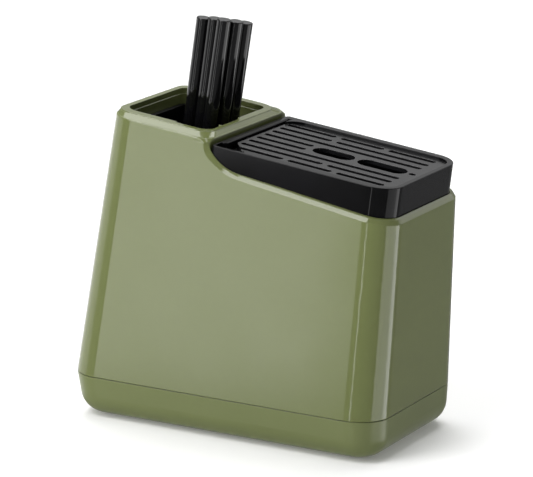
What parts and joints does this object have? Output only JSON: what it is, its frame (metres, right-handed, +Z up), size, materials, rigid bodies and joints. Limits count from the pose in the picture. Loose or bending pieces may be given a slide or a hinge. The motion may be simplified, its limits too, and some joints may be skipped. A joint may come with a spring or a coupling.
{
  "type": "knife block",
  "caption": "Leaning knife block with an open utensil tower, a slotted knife insert on a lower sloping deck, a bundle of round rods and a lift-off base tray.",
  "frame": {"origin": "centre of the bounding box on the surface it stands on", "axes": "+X to the low deck end, -Y the broad front, +Z up"},
  "size_m": [0.249, 0.1356, 0.2871],
  "materials": {
    "green_shell": "satin olive green plastic",
    "green_base": "matte olive green plastic",
    "black_gloss": "smooth black plastic with soft gloss",
    "black_plate": "satin black plastic",
    "black_matte": "matte black plastic",
    "rod_black": "glossy black rods",
    "foot_rubber": "soft black rubber"
  },
  "bodies": {
    "base": {"base_tray": "green_base", "foot_front_left": "foot_rubber", "foot_back_left": "foot_rubber", "foot_front_right": "foot_rubber", "foot_back_right": "foot_rubber"},
    "housing_body": {"housing": "green_shell"},
    "insert": {"insert_frame": "black_gloss", "knife_bin": "black_matte"},
    "grille": {"knife_grille": "black_plate"},
    "cup": {"tower_cup": "black_matte", "rod_socket": "black_matte"},
    "rod_body_1": {"rod_1": "rod_black"},
    "rod_body_2": {"rod_2": "rod_black"},
    "rod_body_3": {"rod_3": "rod_black"},
    "rod_body_4": {"rod_4": "rod_black"},
    "rod_body_5": {"rod_5": "rod_black"}
  },
  "joints": [
    {"name": "housing_lift", "type": "slide", "parent": "base", "child": "housing_body", "axis": [0, 0, 1], "range_m": [0, 0.06]},
    {"name": "insert_lift", "type": "slide", "parent": "housing_body", "child": "insert", "axis": [0.1115, 0, 0.9938], "range_m": [0, 0.17]},
    {"name": "grille_lift", "type": "slide", "parent": "insert", "child": "grille", "axis": [0.1115, 0, 0.9938], "range_m": [0, 0.03]},
    {"name": "cup_lift", "type": "slide", "parent": "housing_body", "child": "cup", "axis": [0.1115, 0, 0.9938], "range_m": [0, 0.14]},
    {"name": "rod_1_pull", "type": "slide", "parent": "cup", "child": "rod_body_1", "axis": [0.1288, 0, 0.9917], "range_m": [0, 0.14]},
    {"name": "rod_2_pull", "type": "slide", "parent": "cup", "child": "rod_body_2", "axis": [0.1288, 0, 0.9917], "range_m": [0, 0.14]},
    {"name": "rod_3_pull", "type": "slide", "parent": "cup", "child": "rod_body_3", "axis": [0.1374, 0, 0.9905], "range_m": [0, 0.14]},
    {"name": "rod_4_pull", "type": "slide", "parent": "cup", "child": "rod_body_4", "axis": [0.1409, 0, 0.99], "range_m": [0, 0.14]},
    {"name": "rod_5_pull", "type": "slide", "parent": "cup", "child": "rod_body_5", "axis": [0.1409, 0, 0.99], "range_m": [0, 0.14]}
  ]
}
